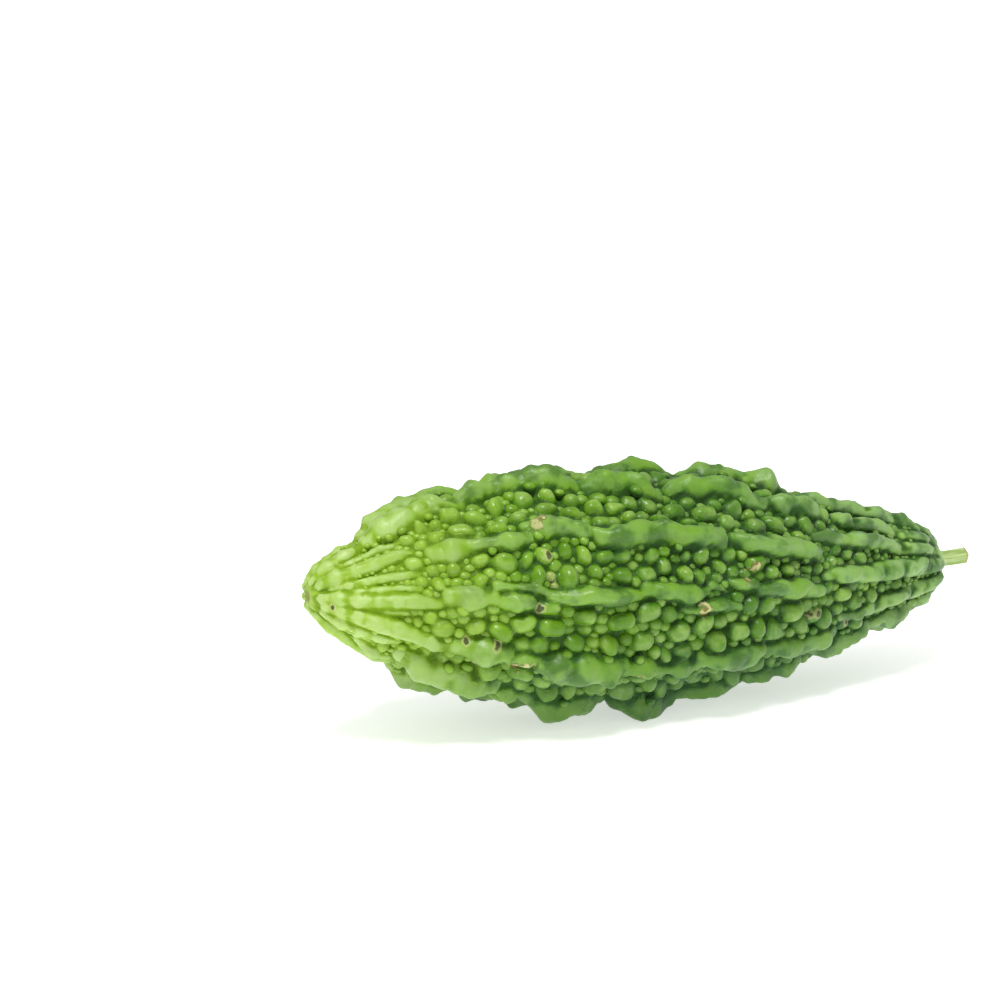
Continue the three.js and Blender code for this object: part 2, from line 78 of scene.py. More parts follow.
# The lumps of each ridge: first and last station, first and last angle, half width, height.
RIDGES = {
    "upper_back": (
        (4, 22, -32, -30, 2.6, 2.6), (26, 60, -30, -26, 4.2, 4.8), (63, 94, -25, -22, 4, 5.2),
        (98, 118, -16, -12, 4.8, 5.8), (122, 150, -8, 6, 4.4, 6), (154, 206, 14, 26, 3.2, 4),
    ),
    "top": (
        (4, 21, 10, 5, 2.6, 2.8), (23, 49, 4, 4, 5.2, 4.4), (51, 59, 2, 4, 3.6, 6),
        (61, 82, 3, 12, 4.6, 7), (85, 105, 14, 22, 4.2, 6.5), (111, 137, 18, 28, 4.6, 6.5),
        (139, 158, 27, 33, 3.8, 5), (162, 206, 35, 48, 3, 3.6),
    ),
    "shoulder": (
        (5, 31, 43, 40, 2.3, 2.2), (36, 48, 46, 47, 3.6, 4.2), (49, 61, 47, 48, 3.8, 4.8),
        (62, 80, 42, 47, 3.8, 5), (81, 117, 49, 55, 4.2, 6.8), (121, 149, 55, 62, 3.6, 5.5),
        (151, 206, 50, 65, 2.8, 3.8),
    ),
    "front": (
        (5, 35, 86, 83, 2.4, 2.8), (38, 49, 77, 80, 4, 4.4), (50, 60, 82, 82, 2.7, 3.8),
        (50, 56, 74, 74, 1.9, 3.2), (57, 64, 74, 76, 2, 3.4), (65, 89, 78, 80, 3, 4.8),
        (91, 110, 78, 81, 3.2, 5), (112, 118, 79, 82, 2.2, 3.6), (119, 126, 76, 79, 2.8, 4),
        (128, 149, 83, 88, 3.2, 5), (152, 206, 79, 80, 3, 4.2), (103, 121, 88, 90, 2.5, 4),
    ),
    "lower_front": (
        (6, 39, 103, 116, 2.8, 3.6), (41, 53, 115, 115, 4.2, 5.2), (54, 62, 119, 116, 2.8, 4.2),
        (63, 86, 119, 121, 5, 6.5), (88, 98, 122, 123, 3.8, 5.4), (100, 109, 124, 121, 3.8, 5.4),
        (111, 130, 118, 119, 4.4, 6), (133, 157, 121, 122, 3.4, 4.4),
        (160, 206, 112, 104, 2.8, 3.4),
    ),
    "under_front": (
        (6, 26, 128, 126, 2.2, 2.4), (17, 26, 152, 154, 2.6, 3.4), (28, 53, 137, 143, 4.6, 6),
        (55, 63, 150, 150, 3, 4.4), (65, 87, 154, 155, 4.4, 6.4), (92, 109, 156, 156, 4.6, 8.8),
        (112, 129, 152, 150, 3.6, 5.2), (132, 148, 146, 143, 3.8, 5), (151, 206, 136, 128, 3, 3.8),
    ),
    "under_back": (
        (5, 30, 168, 180, 2.4, 2.8), (32, 52, 186, 188, 4, 5), (54, 67, 189, 191, 3.6, 5),
        (69, 99, 194, 195, 4.4, 6.7), (102, 124, 195, 194, 4, 6.1), (127, 150, 190, 186, 3.6, 4.6),
        (153, 206, 182, 172, 2.9, 3.6),
    ),
}

# Ridges of the far side, grown by a rule: their angle near the tip, in the middle and near the
# stalk, the range that each lump's length, gap, half width and height is drawn from, and the
# stations, half width and height of the pleat that each starts with and of its low end.
GROWN_RIDGES = {
    "lower_back": (218, 229, 212),
    "back": (257, 264, 252),
    "back_top": (298, 300, 304),
}
GROWN_LENGTH = (10, 28)
GROWN_GAP = (1.5, 3.5)
GROWN_HALF_WIDTH = (3.2, 4.4)
GROWN_HEIGHT = (4.6, 6.4)
GROWN_SHIFT = 3
GROWN_PLEAT_SPAN = (4, 26)
GROWN_PLEAT_SIZE = (2.4, 2.6)
GROWN_END_SPAN = (152, 206)
GROWN_END_SIZE = (3, 3.8)

# Fine pleats that run from the scar between the ridges: angle, first and last station.
PLEATS = (
    (-11, 6, 21), (26, 6, 29), (60, 8, 31), (73, 10, 31), (95, 9, 27), (114, 7, 16), (141, 7, 20),
    (192, 8, 24), (238, 8, 25), (277, 7, 23), (316, 8, 22),
)
PLEAT_HALF_WIDTH = 1.6
PLEAT_HEIGHT = 1.5

# A bump is a dome with steep sides, blended with its neighbours. A lump is a chain of bumps from
# knot to knot, slimmer and lower at its ends and no larger than the body allows. It stands on a
# low skirt.
DOME_POWER = 0.62
KNOT_STEP = 5
KNOT_SPREAD = 0.1
LUMP_SLIMNESS = 0.82
LUMP_END_WIDTH = 0.78
LUMP_END_HEIGHT = 0.55
WIDEST_TO_RADIUS = 0.3
TALLEST_TO_RADIUS = 0.36
SKIRT_HEIGHT = 0.8
SKIRT_REACH = 5
HEIGHTS_TO_SKIRT = 3
BLEND = 0.8


class WartPass(NamedTuple):
    """Warts of one size: how many are thrown, their radii in mm, the first station, the room they
    ask for between warts and beside lumps, and how their width is scaled once all have a place.
    Beads are small warts with a piece of their own, by its name."""

    throws: int
    smallest: float
    largest: float
    first: float
    wart_room: float
    lump_room: float
    swell: float
    piece: str = ""


# Warts are thrown at the skin, the large ones first, and stay where they find room. The beads fill
# the creases and climb the sides of the lumps.
WART_PASSES = (
    WartPass(9000, 2.5, 3.2, 20, 0.9, 0.8, 0.95),
    WartPass(14000, 2, 2.5, 20, 0.9, 0.8, 1.02),
    WartPass(34000, 1.4, 2, 20, 0.8, 0.66, 1.25, "gourd_beads"),
    WartPass(60000, 1, 1.4, 16, 0.78, 0.6, 1.28, "gourd_fine_beads"),
)

# A bead is sunk into the skin by a share of its width, and its rim counts as deep in a crease.
BEAD_SUNK = 0.38
# The material paints shade on a bead's low rim and a highlight on its top.
BEAD_RIM_CAVITY = 0.14

# A wart's last station, how its height differs and compares with its radius, how far it is drawn
# out, and how near it comes to a lump. Warts are small where the body is thin, and are scaled
# between some angles.
WART_LAST = 204
WART_HEIGHT_SPREAD = 0.3
WART_HEIGHT = 1.2
WART_STRETCH = 0.4
WART_TO_LUMP = 0.72
FULL_SIZE_RADIUS = 24
SMALLEST_SCALE = 0.35
SCALED_BANDS = ((52, 76, 0.86), (90, 115, 1.1))

# The seeds of the draws and of the soft noise, and how one draw follows from the last.
SEED = 2718
NOISE_SEED = 2
DRAW_FACTOR = 16807
DRAW_MODULUS = 2147483647

# How the bumps and the grid are searched: the depth of a shelf in mm, its first rows, how much
# wider than a bump its part of the grid is, and the radius that it is worked out with at least.
SHELF_DEPTH = 10
FIRST_ROWS = 64
WINDOW_SPARE = 1.2
LEAST_RADIUS = 0.1

# These keep divisions from being by nothing.
SHORTEST_SPAN = 1e-12
THINNEST_BLEND = 1e-9

# The blossom scar: a shallow round dent in the tip.
SCAR_RADIUS = 2.1
SCAR_DEPTH = 1

# How gently the skin rounds where it is pressed flat on the floor.
PRESS_SOFTNESS = 0.8

# Marks on the skin: station, angle, radius. A pit is a dark dot in a pale ring, and a cork patch is
# a dry cream scab.
PITS = (
    (65, 58, 1.1), (65, 72, 1), (61, 86, 1), (42, 108, 0.8), (50, 108, 1), (46, 122, 0.9),
    (146, 101, 1.1), (149, 102, 1), (162, 116, 0.8), (8, 98, 0.6), (60, 118, 0.9),
    (118, 262, 1), (74, 231, 0.9), (97, 300, 1),
)
CORKS = (
    (65, 40, 2.2), (56, 121, 2), (58, 118, 1.6), (108, 90, 2.2), (123, 76, 1.5), (126, 69, 1.6),
    (91, 124, 1.6), (84, 262, 1.9),
)
FAR_MARK = 4

# Hardly any bump is round: the skin under it is pushed aside in slow waves, given by length and
# push, and the lumps rise and fall in waves of one length, by a share given for some stations.
WARPS = ((15, 1.8), (5.5, 0.9))
LUMP_WAVE_LENGTH = 6.5
LUMP_WAVES = ((20, 0.05), (60, 0.3), (130, 0.3), (165, 0.6))

# Low buds that sit on the lumps: how many on each stretch of a lump, their radius and height, and
# how far across the lump they may sit.
BUDS = 5
BUD_RADIUS = (1.2, 2.3)
BUD_HEIGHT = (0.3, 0.85)
BUD_ACROSS = 1.25

# The last smoothing of the skin, as a share. The cavity is how far the skin lies under or over its
# surroundings: how many corners they reach, and the depth in mm that counts as all the way.
SMOOTHING = 0.25
CAVITY_REACH = 4
CAVITY_DEPTH = 1.7

# The stalk: how far it is sunk in and stands out, its radii, ribs, bend and cut end, and the
# angle in degrees from which an edge of it looks sharp.
STALK_SUNK = 3
STALK_OUT = 11
STALK_RADIUS = 2.05
STALK_FOOT_RADIUS = 3.9
STALK_FOOT_REACH = 4.2
STALK_END_RADIUS = 2.2
STALK_RIBS = 5
STALK_RIB_DEPTH = 0.08
STALK_SIDES = 60
STALK_RINGS = 28
STALK_SLOPE = -0.03
STALK_BEND = 0.5
STALK_RIM = 0.35
STALK_HOLLOW = 0.4
STALK_SHARP_ANGLE = 50

# The camera: which way it looks, how far it is from the middle of the fruit, and how far it is
# moved aside and up, so that the gourd lies low and to the right in a square picture.
CAMERA_AZIMUTH = -28
CAMERA_ELEVATION = 12
CAMERA_DISTANCE = 0.8
CAMERA_ASIDE = -0.0385
CAMERA_UP = 0.0209
CAMERA_TARGET = Vector((-4.7, -0.4, 35.8)) * MM
CAMERA_LENS = 105.5
SENSOR_WIDTH = 36

# The floor, and the large soft light: where it hangs, what it looks at, and its width in metres.
FLOOR_RADIUS = 14
FLOOR_SIDES = 64
KEY_PLACE = (-0.24, -0.28, 0.85)
KEY_AIM = (0, 0, 0.04)
KEY_WIDTH = 0.3

# Soft patterns in the skin and the stalk, in waves to a metre.
CLOUDS = 55
MOTTLES = 120
DULL_SPOTS = 240
GRAIN = 420
FIBRES = 900

# The wax on the skin: how much it lights up at its edges, how softly, how it bends light, and how
# strongly it shines.
SHEEN = 0.22
SHEEN_ROUGHNESS = 0.3
WAX_IOR = 1.4
WAX_SPECULAR = 0.5

# Light in the flesh and in the stalk: how far it goes, red, green and blue beside that, and in the
# stalk how much of it goes in.
FLESH_REACH = 0.0012
FLESH_COLOURS = (0.45, 1.0, 0.2)
STALK_GLOW = 0.2
STALK_REACH = 0.002
STALK_COLOURS = (0.6, 1.0, 0.3)


class Knot(NamedTuple):
    """One point of a bump's line, with the bump's size there."""

    station: float
    angle: float
    point: np.ndarray
    half_width: float
    height: float


class Bump(NamedTuple):
    """A bump's line from its first to its last knot."""

    first: Knot
    last: Knot
    is_lump: bool
    swell: float
    piece: str = ""


def make_draw(seed):
    """A stream of numbers from 0 to 1 that is the same on every run."""
    state = seed

    def draw():
        nonlocal state
        state = (state * DRAW_FACTOR) % DRAW_MODULUS
        return state / DRAW_MODULUS

    return draw


def between(limits, share):
    return limits[0] + (limits[1] - limits[0]) * share


def round_half_up(value):
    return math.floor(value + 0.5)


class Skin:
    """The bare skin, read by station. The outline is mirrored past its ends."""

    def __init__(self):
        corners = np.array(OUTLINE, float)
        flip = np.array((1, -1))
        guides = np.vstack((corners[1] * flip, corners, corners[-2] * flip))
        steps = np.arange(OUTLINE_STEPS)[:, None] / OUTLINE_STEPS
        spans = [self.span(guides[i:i + 4], steps) for i in range(len(corners) - 1)]
        samples = np.vstack((*spans, corners[-1:]))
        lengths = np.hypot(*np.diff(samples, axis=0).T)
        self.stations = np.concatenate(((0,), np.cumsum(lengths)))
        self.along, self.radius = samples.T
        self.length = self.stations[-1]

    @staticmethod
    def span(guides, steps):
        """A Catmull-Rom curve from the second guide point to the third."""
        before, start, end, after = guides
        slope_in = (end - before) / 2
        slope_out = (after - start) / 2
        cubic = 2 * start - 2 * end + slope_in + slope_out
        square = -3 * start + 3 * end - 2 * slope_in - slope_out
        return cubic * steps ** 3 + square * steps ** 2 + slope_in * steps + start

    def at(self, station):
        along = np.interp(station, self.stations, self.along)
        radius = np.interp(station, self.stations, self.radius)
        return along, radius

    def bare(self, station, angle):
        """The point on the bare skin, on a straight axis that starts at the scar."""
        along, radius = self.at(station)
        turn = np.radians(angle)
        return np.stack(np.broadcast_arrays(along, -radius * np.sin(turn), radius * np.cos(turn)), -1)


def body_scale(radius):
    """How large the bumps grow on a body of this radius, as a share."""
    return np.clip(radius / FULL_SIZE_RADIUS, SMALLEST_SCALE, 1)


def axis_height(distance):
    share = distance / (FRUIT_LENGTH / 2)
    return AXIS_HEIGHT - SAG * (1 - share * share) + AXIS_SLOPE * distance


def place(skin, station, angle, height):
    """Points at a height over the skin, where they really lie, in metres."""
    along, radius = skin.at(station)
    ahead = skin.at(station + SLOPE_REACH)
    behind = skin.at(station - SLOPE_REACH)
    run = ahead[0] - behind[0]
    rise = ahead[1] - behind[1]
    slant = np.hypot(run, rise)
    distance = along - rise / slant * height - FRUIT_LENGTH / 2
    out = radius + run / slant * height
    turn = np.radians(angle)
    places = (
        distance + MIDDLE_X,
        -out * np.sin(turn) + MIDDLE_Y,
        out * np.cos(turn) + axis_height(distance),
    )
    return np.stack(np.broadcast_arrays(*places), -1) * MM


def press_flat(height):
    """Heights over the floor in metres, pressed flat where they would be under it."""
    soft = PRESS_SOFTNESS * MM
    pressed = np.maximum(height + soft, 0) ** 2 / (4 * soft)
    return np.where(height < soft, pressed, height)


def lump_knots(skin, row, draw):
    """A lump's knots, each a little wider or lower than the next, thinner at its ends."""
    start, end, angle_start, angle_end, half_width, height = row
    steps = max(1, round_half_up((end - start) / KNOT_STEP))
    knots = []
    for step in range(steps + 1):
        station = between((start, end), step / steps)
        angle = between((angle_start, angle_end), step / steps)
        radius = skin.at(station)[1]
        is_end = step in (0, steps)
        end_width = LUMP_END_WIDTH if is_end else 1
        end_height = LUMP_END_HEIGHT if is_end else 1
        width = LUMP_SLIMNESS * half_width * end_width * (1 + KNOT_SPREAD * (2 * draw() - 1))
        rise = height * end_height * (1 + KNOT_SPREAD * (2 * draw() - 1))
        width = min(width, WIDEST_TO_RADIUS * radius)
        rise = min(rise, TALLEST_TO_RADIUS * radius)
        knots.append(Knot(station, angle, skin.bare(station, angle), width, rise))
    return knots


def grow_ridge(angles, draw):
    """A ridge of the far side: a pleat from the tip, lumps with gaps, and a long low end."""
    near_tip, middle, near_stalk = angles
    pleat_start, pleat_end = GROWN_PLEAT_SPAN
    last_start, last_end = GROWN_END_SPAN
    pull = 2 * middle - (near_tip + near_stalk) / 2

    def angle_at(station):
        share = min(max(station / last_start, 0), 1)
        rest = 1 - share
        return rest * rest * near_tip + 2 * rest * share * pull + share * share * near_stalk

    lumps = [(pleat_start, pleat_end, near_tip, angle_at(pleat_end), *GROWN_PLEAT_SIZE)]
    start = pleat_end + between(GROWN_GAP, draw())
    while start < last_start - GROWN_LENGTH[0]:
        end = min(start + between(GROWN_LENGTH, draw()), last_start - GROWN_GAP[0])
        shift = GROWN_SHIFT * (2 * draw() - 1)
        half_width = between(GROWN_HALF_WIDTH, draw())
        height = between(GROWN_HEIGHT, draw())
        lumps.append((start, end, angle_at(start) + shift, angle_at(end) + shift, half_width, height))
        start = end + between(GROWN_GAP, draw())
    lumps.append((last_start, last_end, near_stalk, near_stalk, *GROWN_END_SIZE))
    return lumps


def make_lumps(skin, draw):
    """The bumps of every ridge, laid out or grown, and of the pleats."""
    rows = [row for ridge in RIDGES.values() for row in ridge]
    for angles in GROWN_RIDGES.values():
        rows.extend(grow_ridge(angles, draw))
    for angle, start, end in PLEATS:
        rows.append((start, end, angle, angle, PLEAT_HALF_WIDTH, PLEAT_HEIGHT))
    bumps = []
    for row in rows:
        knots = lump_knots(skin, row, draw)
        bumps.extend(Bump(first, last, True, 1) for first, last in zip(knots, knots[1:]))
    return bumps


class Shelf:
    """Bumps kept by station as growing tables of numbers, so that only the near ones are asked."""

    COLUMNS = 10

    def __init__(self, skin):
        self.count = int(skin.length / SHELF_DEPTH) + 2
        self.rows = [np.zeros((FIRST_ROWS, self.COLUMNS)) for _ in range(self.count)]
        self.used = [0] * self.count

    def index(self, station):
        return min(max(math.floor(station / SHELF_DEPTH), 0), self.count - 1)

    def add(self, bump):
        span = bump.last.point - bump.first.point
        row = np.array((
            *bump.first.point, *span, max(span @ span, SHORTEST_SPAN), bump.first.half_width,
            bump.last.half_width - bump.first.half_width, bump.is_lump,
        ))
        low = min(bump.first.station, bump.last.station) - SHELF_DEPTH
        high = max(bump.first.station, bump.last.station) + SHELF_DEPTH
        for i in range(self.index(low), self.index(high) + 1):
            if self.used[i] == len(self.rows[i]):
                self.rows[i] = np.vstack((self.rows[i], np.zeros_like(self.rows[i])))
            self.rows[i][self.used[i]] = row
            self.used[i] += 1

    def has_room(self, station, point, radius, wart_pass):
        """Warts stay clear of each other and lean a little into the lumps."""
        i = self.index(station)
        rows = self.rows[i][:self.used[i]]
        offset = point - rows[:, 0:3]
        share = np.clip(np.einsum("ij,ij->i", offset, rows[:, 3:6]) / rows[:, 6], 0, 1)
        offset -= share[:, None] * rows[:, 3:6]
        half_width = rows[:, 7] + rows[:, 8] * share
        to_lump = wart_pass.lump_room * half_width + WART_TO_LUMP * radius
        to_wart = wart_pass.wart_room * (half_width + radius)
        reach = np.where(rows[:, 9] > 0, to_lump, to_wart)
        return not (np.einsum("ij,ij->i", offset, offset) < reach * reach).any()


def throw_warts(skin, lumps, draw):
    """The warts of all sizes that find room on the skin, fewer where the body is thin."""
    shelf = Shelf(skin)
    for bump in lumps:
        shelf.add(bump)
    widest = max(radius for _, radius in OUTLINE)
    warts = []
    for wart_pass in WART_PASSES:
        for _ in range(wart_pass.throws):
            station = between((wart_pass.first, WART_LAST), draw())
            angle = 360 * draw()
            chance = draw()
            size = between((wart_pass.smallest, wart_pass.largest), draw())
            stretch = WART_STRETCH * draw()
            body_radius = skin.at(station)[1]
            if chance > body_radius / widest:
                continue
            scale = body_scale(body_radius)
            for low, high, band_scale in SCALED_BANDS:
                if low < angle < high:
                    scale *= band_scale
            half_width = size * scale
            middle = skin.bare(station, angle)
            if not shelf.has_room(station, middle, half_width, wart_pass):
                continue
            ends = []
            for side in (-1, 1):
                end = station + side * stretch * half_width
                height = WART_HEIGHT * half_width
                ends.append(Knot(end, angle, skin.bare(end, angle), half_width, height))
            wart = Bump(*ends, False, wart_pass.swell, wart_pass.piece)
            shelf.add(wart)
            warts.append(wart)
    return warts


def blend_max(a, b):
    """The higher of two heights, rounded where they meet."""
    width = np.maximum(np.minimum(BLEND, 2 * np.minimum(a, b)), THINNEST_BLEND)
    overlap = np.maximum(width - np.abs(a - b), 0)
    return np.maximum(a, b) + overlap * overlap / (4 * width)


def slow_noise(points, length):
    """Three streams of soft noise from -1 to 1 at points given in mm."""
    rows = [noise.noise_vector(Vector(point) / length) for point in points.reshape(-1, 3)]
    return np.array(rows).reshape(points.shape)


def warp(points, radii):
    """How far the bumps at these points are pushed aside. The ends of the fruit keep still."""
    freedom = np.clip(radii / FULL_SIZE_RADIUS, 0, 1)[..., None] ** 2
    return freedom * sum(reach * slow_noise(points, length) for length, reach in WARPS)


def soften(field, reach):
    """The mean of a field's surroundings on the grid, which wraps round in its second direction."""
    rows = np.pad(field, ((reach, reach), (0, 0)), mode="edge")
    window = 2 * reach + 1
    rows = sum(rows[i:i + len(field)] for i in range(window)) / window
    return sum(np.roll(rows, shift, axis=1) for shift in range(-reach, reach + 1)) / window


class Relief:
    """The height of the skin over the bare body on a grid of stations and angles."""

    def __init__(self, skin, rings, sides):
        self.skin = skin
        self.stations = np.linspace(0, skin.length, rings + 1)
        self.angles = np.arange(sides) * 360 / sides
        self.radii = skin.at(self.stations)[1]
        self.flat = skin.bare(self.stations[:, None], self.angles[None, :])
        self.points = self.flat + warp(self.flat, self.radii[:, None])
        waves = np.interp(self.stations, *np.transpose(LUMP_WAVES))[:, None]
        self.wave = 1 + waves * slow_noise(self.flat, LUMP_WAVE_LENGTH)[..., 0]
        shape = (rings + 1, sides)
        self.height = np.zeros(shape)
        self.buds = np.zeros(shape)
        self.skirt = np.zeros(shape)
        self.best = np.zeros(shape)
        self.lump = np.zeros(shape)
        self.tone = np.full(shape, 0.5)

    def window(self, low, high, angle_low, angle_high, reach):
        """The part of the grid within reach of a line on the skin."""
        first = max(np.searchsorted(self.stations, low - reach) - 1, 0)
        last = min(np.searchsorted(self.stations, high + reach) + 1, len(self.stations))
        radius = max(self.radii[first:last].min(), LEAST_RADIUS)
        spread = math.degrees(reach / radius) * WINDOW_SPARE
        sides = len(self.angles)
        start = math.floor((angle_low - spread) * sides / 360)
        count = math.ceil((angle_high - angle_low + 2 * spread) * sides / 360) + 1
        columns = (start + np.arange(min(count, sides))) % sides
        return np.ix_(np.arange(first, last), columns)

    def add(self, bump, tone):
        """Raises the skin along a bump's line. Its size eases from knot to knot."""
        first, last, is_lump, swell, _ = bump
        reach = max(first.half_width, last.half_width) * swell + (SKIRT_REACH if is_lump else 0)
        low, high = sorted((first.station, last.station))
        angle_low, angle_high = sorted((first.angle, last.angle))
        window = self.window(low, high, angle_low, angle_high, reach)
        span = last.point - first.point
        offset = self.points[window] - first.point
        share = np.clip(offset @ span / max(span @ span, SHORTEST_SPAN), 0, 1)
        distance = np.linalg.norm(offset - share[..., None] * span, axis=-1)
        ease = share * share * (3 - 2 * share)
        half_width = (first.half_width + (last.half_width - first.half_width) * ease) * swell
        top = first.height + (last.height - first.height) * ease
        top *= self.wave[window] if is_lump else 1 + WART_HEIGHT_SPREAD * (tone - 0.5)
        inside = np.maximum(1 - (distance / half_width) ** 2, 0)
        dome = top * inside ** DOME_POWER
        blended = blend_max(self.height[window], dome)
        self.height[window] = np.where(dome > 0, blended, self.height[window])
        if is_lump:
            reach_share = np.maximum(1 - (distance / (half_width + SKIRT_REACH)) ** 2, 0)
            skirt = reach_share * np.minimum(SKIRT_HEIGHT, top / HEIGHTS_TO_SKIRT)
            self.skirt[window] = np.maximum(self.skirt[window], skirt)
        wins = dome > self.best[window]
        for field, value in ((self.best, dome), (self.lump, is_lump), (self.tone, tone)):
            field[window] = np.where(wins, value, field[window])

    def add_bud(self, station, angle, radius, height):
        """Raises a low dome, which is added to whatever it stands on."""
        window = self.window(station, station, angle, angle, radius)
        offset = self.points[window] - self.skin.bare(station, angle)
        share = np.maximum(1 - np.sum(offset * offset, -1) / radius ** 2, 0)
        self.buds[window] = np.maximum(self.buds[window], height * share ** DOME_POWER)

    def cell(self, station, angle):
        """The nearest corner of the grid to each place."""
        rings = len(self.stations) - 1
        ring = np.clip(np.rint(station / self.skin.length * rings), 0, rings).astype(int)
        side = np.rint(angle * len(self.angles) / 360).astype(int) % len(self.angles)
        return ring, side

    def marks(self, rows):
        """How far each corner is from the nearest mark, in radii of that mark."""
        nearest = np.full(self.height.shape, float(FAR_MARK))
        for station, angle, radius in rows:
            window = self.window(station, station, angle, angle, FAR_MARK * radius)
            centre = self.skin.bare(station, angle)
            distance = np.linalg.norm(self.flat[window] - centre, axis=-1) / radius
            nearest[window] = np.minimum(nearest[window], distance)
        return nearest

    def finish(self):
        """Adds the skirts, cuts the scar's dent and makes the poles one height each."""
        is_tip = self.stations < self.skin.length / 2
        scar = np.where(is_tip, np.maximum(0, 1 - (self.radii / SCAR_RADIUS) ** 2), 0)
        self.height += self.skirt + self.buds - SCAR_DEPTH * scar[:, None]
        self.height += SMOOTHING * (soften(self.height, 1) - self.height)
        over = self.height - soften(self.height, CAVITY_REACH)
        depth = CAVITY_DEPTH * body_scale(self.radii)
        self.cavity = np.clip(0.5 + over / depth[:, None], 0, 1)
        for pole in (0, -1):
            self.height[pole] = self.height[pole].mean()


def new_object(name, mesh, material):
    mesh.materials.clear()
    mesh.materials.append(material)
    piece = bpy.data.objects.new(name, mesh)
    bpy.context.scene.collection.objects.link(piece)
    return piece


def store(mesh, name, values):
    """Keeps a value for each corner, which the material reads."""
    attribute = mesh.attributes.new(name, "FLOAT", "POINT")
    attribute.data.foreach_set("value", np.ascontiguousarray(values, np.float32))


def read_corners(mesh):
    corners = np.zeros(len(mesh.vertices) * 3)
    mesh.vertices.foreach_get("co", corners)
    return corners.reshape(-1, 3)


def move_corners(mesh, places):
    """Moves a mesh's corners to places over the floor, or flat onto it."""
    places[:, 2] = press_flat(places[:, 2])
    mesh.vertices.foreach_set("co", places.ravel())
    mesh.shade_smooth()
    mesh.update()


def bud_lump(relief, bump, draw):
    """Low buds at random places on one stretch of a lump."""
    for _ in range(BUDS):
        share, turn, size, rise = (draw() for _ in range(4))
        across = math.cos(math.pi * turn)
        station = between((bump.first.station, bump.last.station), share)
        half_width = between((bump.first.half_width, bump.last.half_width), share)
        body_radius = relief.skin.at(station)[1]
        angle = between((bump.first.angle, bump.last.angle), share)
        angle += math.degrees(across * BUD_ACROSS * half_width / body_radius)
        scale = body_scale(body_radius)
        radius = scale * between(BUD_RADIUS, size)
        relief.add_bud(station, angle, radius, scale * between(BUD_HEIGHT, rise))


def grow_skin(look):
    """The relief of the whole skin, the beads that stand on it, and the draws that are left."""
    noise.seed_set(NOISE_SEED)
    skin = Skin()
    draw = make_draw(SEED)
    lumps = make_lumps(skin, draw)
    warts = throw_warts(skin, lumps, draw)
    relief = Relief(skin, look.rings, look.sides)
    for bump in lumps + [wart for wart in warts if not wart.piece]:
        relief.add(bump, draw())
    for bump in lumps:
        bud_lump(relief, bump, draw)
    relief.finish()
    return relief, [wart for wart in warts if wart.piece], draw


def heap_balls(name, count):
    """A mesh of many equal balls, one after the other."""
    ball = bmesh.new()
    bmesh.ops.create_icosphere(ball, subdivisions=2, radius=1)
    pattern = bpy.data.meshes.new("bead")
    ball.to_mesh(pattern)
    ball.free()
    heap = bmesh.new()
    for _ in range(count):
        heap.from_mesh(pattern)
    mesh = bpy.data.meshes.new(name)
    heap.to_mesh(mesh)
    heap.free()
    bpy.data.meshes.remove(pattern)
    return mesh


def sculpt_beads(name, relief, beads, draw):
    """Small warts, each a ball whose corners are moved to its own place on the skin."""
    skin = relief.skin
    mesh = heap_balls(name, len(beads))
    ahead, aside, up = np.moveaxis(read_corners(mesh).reshape(len(beads), -1, 3), -1, 0)
    tone = np.array([draw() for _ in beads])[:, None]
    ends = np.array([(bead.first.station, bead.last.station) for bead in beads])
    width = np.array([bead.first.half_width * bead.swell for bead in beads])[:, None]
    length = np.diff(ends, axis=1) / 2 + width

    middle = ends.mean(1)
    angle = np.array([bead.first.angle for bead in beads])
    radius = skin.at(middle)[1]
    turn = np.radians(angle)
    push = warp(skin.bare(middle, angle), radius)
    middle = middle - push[:, 0]
    angle = angle + np.degrees((push[:, 1] * np.cos(turn) + push[:, 2] * np.sin(turn)) / radius)
    cell = relief.cell(middle, angle)
    base = relief.height[cell][:, None] - BEAD_SUNK * width

    stations = middle[:, None] + ahead * length
    angles = angle[:, None] + np.degrees(aside * width / radius[:, None])
    heights = base + up * width * (1 + WART_HEIGHT_SPREAD * (tone - 0.5))
    move_corners(mesh, place(skin, stations.ravel(), angles.ravel(), heights.ravel()))

    fields = {
        "cavity": np.clip(BEAD_RIM_CAVITY + (1 - BEAD_RIM_CAVITY) * up, 0, 1),
        "lump": 0,
        "tone": tone,
        "along": middle[:, None] / skin.length,
        "pit": relief.marks(PITS)[cell][:, None],
        "cork": relief.marks(CORKS)[cell][:, None],
    }
    for field, values in fields.items():
        store(mesh, field, np.broadcast_to(values, up.shape).ravel())
    return mesh


def sculpt_fruit(look, relief):
    """A ball of many corners, each moved to its place on the warty skin."""
    mesh = bpy.data.meshes.new("gourd_skin")
    ball = bmesh.new()
    bmesh.ops.create_uvsphere(ball, u_segments=look.sides, v_segments=look.rings, radius=1)
    ball.to_mesh(mesh)
    ball.free()

    x, y, z = read_corners(mesh).T
    ring = np.rint(np.arccos(np.clip(z, -1, 1)) / math.pi * look.rings).astype(int)
    side = np.rint(-np.arctan2(y, x) / math.tau * look.sides).astype(int) % look.sides
    station = relief.stations[ring]
    move_corners(mesh, place(relief.skin, station, relief.angles[side], relief.height[ring, side]))

    fields = {
        "cavity": relief.cavity[ring, side],
        "lump": relief.lump[ring, side],
        "tone": relief.tone[ring, side],
        "along": station / relief.skin.length,
        "pit": relief.marks(PITS)[ring, side],
        "cork": relief.marks(CORKS)[ring, side],
    }
    for field, values in fields.items():
        store(mesh, field, values)
    return mesh


